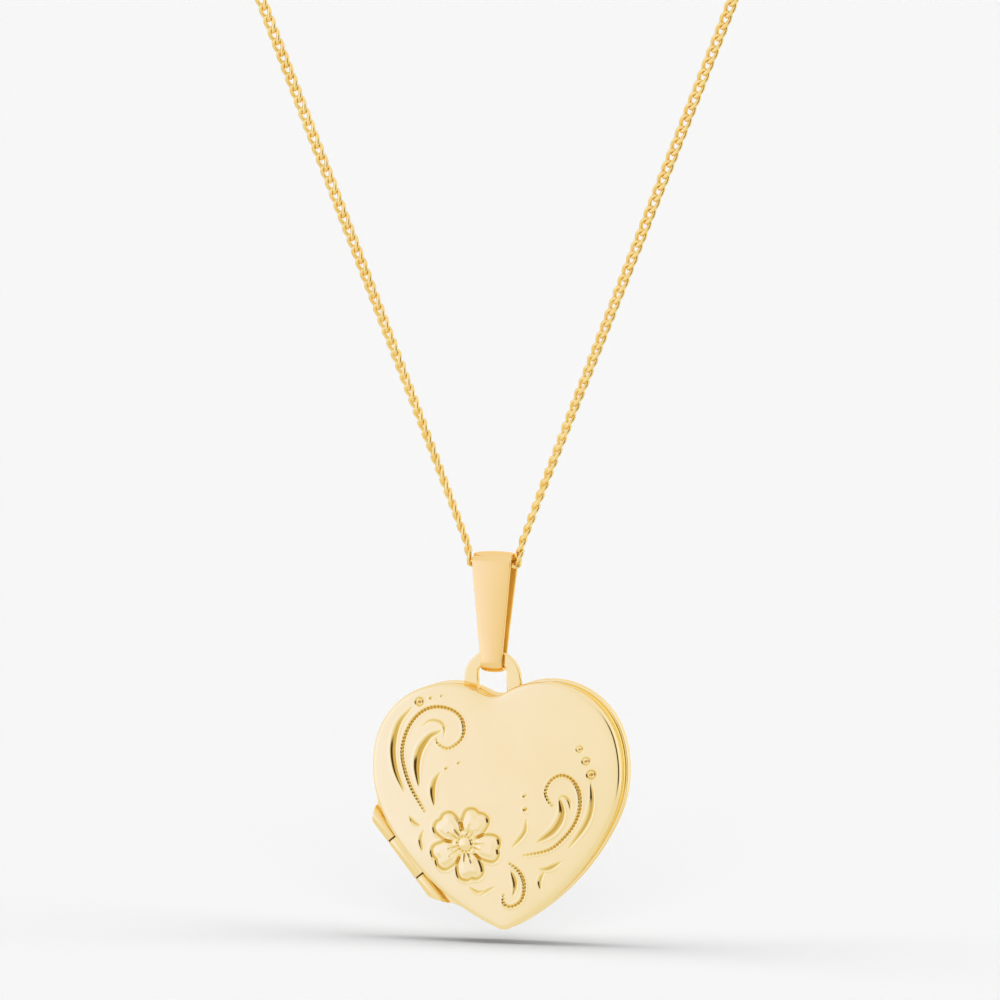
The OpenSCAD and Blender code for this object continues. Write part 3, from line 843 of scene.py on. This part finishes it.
def bezel_section(depth):
    """A band with a ledge at its inner side, which the card rests on."""
    return rounded([(BEZEL_INSET, PARTING_HALF), (BEZEL_INSET, depth), (LEDGE_INSET, depth),
                    (LEDGE_INSET, depth - LEDGE_T), (WELL_INSET, depth - LEDGE_T),
                    (WELL_INSET, PARTING_HALF)], BEZEL_R)


def frame_section(depth):
    """A flat frame with a slanted inner edge, seated over the window."""
    seat = depth - LEDGE_T - CARD_ROOM
    outer = WELL_INSET + FRAME_GAP
    return rounded([(outer, seat), (LEDGE_INSET + FRAME_LIP, seat),
                    (LEDGE_INSET + FRAME_LIP, seat - FRAME_STEP),
                    (LEDGE_INSET - FRAME_LIP, seat - FRAME_T), (outer, seat - FRAME_T)], FRAME_R)


profile_ring("front_bezel_ring", "locket_front", "front_bezel", bezel_section(FRONT_EDGE), -1)
profile_ring("back_bezel_ring", "locket_back", "back_bezel", bezel_section(BACK_EDGE), 1)
profile_ring("front_frame_ring", "locket_front", "front_photo_frame", frame_section(FRONT_EDGE), -1)
profile_ring("back_frame_ring", "locket_back", "back_photo_frame", frame_section(BACK_EDGE), 1)

# ---------------------------------------------------------------- bail
STRAP_T = 0.3
BAIL_TOP_W, BAIL_FOOT_W = 3.0, 1.68
BAIL_HALF, BAIL_CORNER, BAIL_FOOT_R = 1.05, 0.7, 0.7
BAIL_TOP = 0.9
BAIL_WAIST_Z, BAIL_TAPER_TO = -4.6, -7.0
BAIL_LEAN = math.radians(1)
BAIL_SHIFT = -0.05
BAIL_EDGE_R = 0.1
# The outer side swells by this much across the strap, at these shares of its half-width
BAIL_CROWN = 0.1
CROWN_SPOTS = np.array([-0.8, -0.6, -0.4, -0.2, 0, 0.2, 0.4, 0.6, 0.8])
# The back of the strap bends a little at its waist, at these places from it
WAIST_FROM, WAIST_TO = (0, -0.3), (0.045, 0.4)
WAIST_BEND = ((0.003, -0.15), (0.012, 0), (0.025, 0.15))
# The top's front corner is cut flat between these degrees, which leaves a crease at each
CREASES = (104, 168)
# Points closer to the inside than this share of the half-thickness are on the inner side
INNER_SHARE = 0.6


def hang_bail(points):
    """From the bail's upright drawing to where it hangs."""
    p = np.asarray(points, float)
    c, s = math.cos(BAIL_LEAN), math.sin(BAIL_LEAN)
    z = p[:, 2] - PIVOT_Z
    return np.stack([c * p[:, 0] + s * z + BAIL_SHIFT, p[:, 1],
                     -s * p[:, 0] + c * z + PIVOT_Z], -1)


def bail_width(z):
    """The strap's width at a height."""
    t = (z - BAIL_TAPER_TO) / (BAIL_TOP - BAIL_CORNER - BAIL_TAPER_TO)
    return BAIL_FOOT_W + (BAIL_TOP_W - BAIL_FOOT_W) * min(max(t, 0), 1)


def bail_line():
    """The middle of the strap's thickness all the way round, as (y, z) from its foot."""
    mid = STRAP_T / 2
    bend = np.array([BAIL_HALF - BAIL_CORNER, BAIL_TOP - BAIL_CORNER])
    front_bend = bend * (-1, 1)
    foot = np.array([0, PIVOT_Z])
    corner_r, foot_r = BAIL_CORNER - mid, BAIL_FOOT_R - mid
    waist = np.array([foot_r, BAIL_WAIST_Z])
    return np.vstack([
        arc(foot, foot_r, -90, 0, 8),
        np.linspace(foot + (foot_r, 0), waist + WAIST_FROM, 8),
        waist + WAIST_BEND,
        np.linspace(waist + WAIST_TO, bend + (corner_r, 0), 16)[:-1],
        arc(bend, corner_r, 0, 90, 10),
        np.linspace(bend + (0, corner_r), front_bend + (0, corner_r), 4)[:-1],
        arc(front_bend, corner_r, 90, CREASES[0], 4),
        arc(front_bend, corner_r, CREASES[1], 180, 4),
        np.linspace(front_bend - (corner_r, 0), foot - (foot_r, 0), 24)[:-1],
        arc(foot, foot_r, 180, 270, 8)])


def make_bail():
    """A strap folded into a closed loop, with softly rounded edges."""
    mid = STRAP_T / 2
    line = bail_line()
    tangent = np.roll(line, -1, axis=0) - np.roll(line, 1, axis=0)
    tangent /= np.linalg.norm(tangent, axis=1)[:, None]
    outward = np.stack([tangent[:, 1], -tangent[:, 0]], -1)
    crown = BAIL_CROWN * (1 - CROWN_SPOTS ** 2)
    verts, inner = [], []
    for (y, z), (ny, nz) in zip(line, outward):
        w = bail_width(z) / 2
        section = rounded([(-w, -mid), (w, -mid), (w, mid), (-w, mid)], BAIL_EDGE_R)
        last_corner = len(section) * 3 // 4
        section[last_corner:last_corner] = zip(-CROWN_SPOTS * w, mid + crown)
        for x, d in section:
            verts.append((x, y + d * ny, z + d * nz))
            # The inner side takes a painted deeper orange, for light bounced inside the loop
            inner.append(float(d < -INNER_SHARE * mid))
    faces = [f[::-1] for f in ring_faces(len(line), len(section), closed_rings=True)]
    obj = piece("bail_loop", verts, faces, "bail_gold", "bail", "bail_strap", hang_bail)
    mark_painted_shading(obj, inner)
    even_normals(obj)


make_bail()

# ---------------------------------------------------------------- hinge pin
HINGE_X, HINGE_DROP = 7.69, 21.59
HINGE_LEAN = math.radians(35.7)
HINGE_UP, HINGE_DOWN = 3.6, 3.34
PIN_R, PIN_EDGE, PIN_SIDES = 0.18, 0.03, 32
# The middles of the gaps between knuckles, along the pin
GAPS = (-1.77, 1.67)
# Washers that fill the gaps and are painted dark, where there is only shade
WASHER_R, WASHER_T, WASHER_EDGE = 0.455, 0.09, 0.01
# Points closer together than this are one point, in metres
WELD_GAP = 1e-7


def hang_hinge(points):
    """From the pin's own line, up z, to the hinge's place on the hanging locket."""
    p = np.asarray(points, float)
    c, s = math.cos(HINGE_LEAN), math.sin(HINGE_LEAN)
    return hang(np.stack([c * p[:, 0] - s * p[:, 2] - HINGE_X, p[:, 1],
                          s * p[:, 0] + c * p[:, 2] - HINGE_DROP], -1))


def make_pin():
    """The hinge pin, with a thin washer in each knuckle gap, painted dark as the gap's shade."""
    profile = [(0, -HINGE_DOWN), (PIN_R - PIN_EDGE, -HINGE_DOWN), (PIN_R, -HINGE_DOWN + PIN_EDGE)]
    # Rings painted dark: the washers, which stand for the shade in the gaps
    dark = [0, 0, 0]
    half, round_r = WASHER_T / 2, WASHER_R - WASHER_EDGE
    for gap in GAPS:
        low, high = gap - half, gap + half
        profile += [(PIN_R, low), (round_r, low), (WASHER_R, low + WASHER_EDGE),
                    (WASHER_R, high - WASHER_EDGE), (round_r, high), (PIN_R, high)]
        dark += [0, 1, 1, 1, 1, 0]
    profile += [(PIN_R, HINGE_UP - PIN_EDGE), (PIN_R - PIN_EDGE, HINGE_UP), (0, HINGE_UP)]
    dark += [0, 0, 0]
    turns = [2 * math.pi * k / PIN_SIDES for k in range(PIN_SIDES)]
    verts = [(r * math.cos(a), r * math.sin(a), z) for r, z in profile for a in turns]
    obj = piece("hinge_pin_rod", verts, ring_faces(len(profile), PIN_SIDES), "hinge_gold",
                "locket_back", "hinge_pin", hang_hinge)
    obj.modifiers.new("weld", "WELD").merge_threshold = WELD_GAP
    mark_painted_shading(obj, np.repeat(dark, PIN_SIDES).astype(float))
    even_normals(obj)


make_pin()

# ---------------------------------------------------------------- CAD nodes that stay
# Each with how far its edges are softened, in millimetres
STAYING = {"clasp_link": 0, "clasp_eye": 0, "clasp_body": 0.03, "clasp_spring": 0,
           "clasp_trigger": 0, "tag_link": 0, "end_tag": 0.06, "top_loop": 0.12,
           "catch_tongue": 0.04, "hinge_knuckle_upper": 0.05, "hinge_knuckle_lower": 0.05,
           "hinge_knuckle_middle": 0.05, "back_photo_card": 0, "back_window": 0,
           "front_photo_card": 0, "front_window": 0}
# Corners sharper than this are softened
SHARP_CORNER = math.radians(35)


def dress(node, edge_mm):
    """A CAD node keeps its shape and gets its slot's material and softened edges.

    Cards and windows are cut from sheet, so they stay flat-faced."""
    obj = frame["nodes"][node]
    slot = next(s["material_slot"] for s in frame["record"]["subparts"] if s["node"] == node)
    obj.data.materials.clear()
    obj.data.materials.append(MATERIALS[slot])
    obj.modifiers.new("weld", "WELD").merge_threshold = WELD_GAP
    if slot in ("window_film", "photo_paper"):
        stored = obj.data.attributes.get("custom_normal")
        if stored:
            obj.data.attributes.remove(stored)
        obj.data.shade_flat()
        return
    if edge_mm:
        bevel = obj.modifiers.new("edges", "BEVEL")
        bevel.width = edge_mm * MM
        bevel.segments = 3
        bevel.limit_method = "ANGLE"
        bevel.angle_limit = SHARP_CORNER
    even_normals(obj)


for node, edge_mm in STAYING.items():
    dress(node, edge_mm)

# ---------------------------------------------------------------- floor, light and sky
FLOOR_Z = -28.1 * MM
FLOOR_HALF = 8
FLOOR_CORNERS = [(-1, -1), (1, -1), (1, 1), (-1, 1)]
# Each panel's lean forwards and sideways in degrees, and its strength
PANELS = [(0, -52, 0.98), (0, -26, 0.58), (0, 0, 0.5), (0, 26, 0.58), (0, 52, 0.98), (78, 0, 1.2)]
PANEL_ANGLE = math.radians(36)


def make_stage():
    """A pale matt floor that the gold doesn't reflect."""
    mesh = bpy.data.meshes.new("floor")
    corners = [(x * FLOOR_HALF, y * FLOOR_HALF, FLOOR_Z) for x, y in FLOOR_CORNERS]
    mesh.from_pydata(corners, [], [(0, 1, 2, 3)])
    floor = bpy.data.objects.new("floor", mesh)
    bpy.context.collection.objects.link(floor)
    mat, _, _, bsdf = new_material("floor")
    bsdf.inputs["Base Color"].default_value = (0.93, 0.93, 0.93, 1)
    bsdf.inputs["Roughness"].default_value = 0.9
    bsdf.inputs["Specular IOR Level"].default_value = 0.0
    mesh.materials.append(mat)
    floor.visible_glossy = False


def make_light():
    """A row of soft overhead panels from left to right, and a low one in front."""
    for k, (forward, lean, power) in enumerate(PANELS):
        sun = bpy.data.lights.new("panel_%d" % k, "SUN")
        sun.energy = power
        sun.angle = PANEL_ANGLE
        obj = bpy.data.objects.new("panel_%d" % k, sun)
        bpy.context.collection.objects.link(obj)
        obj.rotation_euler = (math.radians(forward), math.radians(lean),
                              VIEW_AZIMUTH if forward else 0)
        obj.visible_glossy = False


# The studio as polished metal sees it, by degrees round from -Y towards +X
SKY_STOPS = [(-180, (1.00, 0.99, 0.93)), (-110, (0.94, 0.94, 0.94)), (-80, (1.00, 1.03, 1.15)),
             (-45, (1.02, 1.07, 1.34)), (-28, (0.97, 1.00, 1.20)), (-17, (0.94, 0.93, 0.97)),
             (-4, (0.90, 0.88, 0.80)), (12, (0.87, 0.84, 0.71)), (80, (0.93, 0.91, 0.80)),
             (130, (1.05, 1.04, 0.98)), (180, (1.00, 0.99, 0.93))]
# Overhead and underneath, and between which heights each takes over
SKY_TOP, SKY_TOP_SPAN = (0.91, 0.89, 0.85), (0.4, 0.7)
SKY_UNDER, SKY_UNDER_SPAN = (0.86, 0.83, 0.68), (-0.2, -0.36)
# The dark flag's share at each angle, and the colour of the studio where it stands
FLAG_STOPS = [(31, 0), (39, 1), (68, 1), (78, 0)]
FLAG_COLOUR = (0.09, 0.055, 0.02)
# The studio's strength for light that has left a matt surface, which keeps the shadow deep
FILL = 0.05


def make_sky():
    """A pale studio with a cool softbox on the left and a dark flag at the front right."""
    world = bpy.data.worlds.new("studio")
    bpy.context.scene.world = world
    world.cycles.sampling_method = "NONE"
    world.use_nodes = True
    nodes, links = world.node_tree.nodes, world.node_tree.links
    background = nodes["Background"]
    coords = nodes.new("ShaderNodeTexCoord")
    split = nodes.new("ShaderNodeSeparateXYZ")
    links.new(coords.outputs["Generated"], split.inputs["Vector"])
    x, y, z = split.outputs
    turn = math_node(nodes, links, "ARCTAN2", x, math_node(nodes, links, "MULTIPLY", y, -1.0))
    around = step_node(nodes, links, turn, -math.pi, math.pi)
    high = step_node(nodes, links, z, *SKY_TOP_SPAN)
    low = step_node(nodes, links, z, *SKY_UNDER_SPAN)
    colour = stops_node(nodes, links, around, SKY_STOPS)
    flag = stops_node(nodes, links, around, FLAG_STOPS)
    flag = math_node(nodes, links, "SUBTRACT", flag, math_node(nodes, links, "ADD", high, low))
    flag = math_node(nodes, links, "MAXIMUM", flag, 0.0)
    colour = mix_node(nodes, links, high, colour, SKY_TOP)
    colour = mix_node(nodes, links, low, colour, SKY_UNDER)
    colour = mix_node(nodes, links, flag, colour, FLAG_COLOUR)
    links.new(colour, background.inputs["Color"])
    ray = nodes.new("ShaderNodeLightPath")
    links.new(step_node(nodes, links, ray.outputs["Diffuse Depth"], 0, 1, 1.0, FILL),
              background.inputs["Strength"])


make_stage()
make_light()
make_sky()
bpy.context.scene.view_settings.view_transform = "Standard"
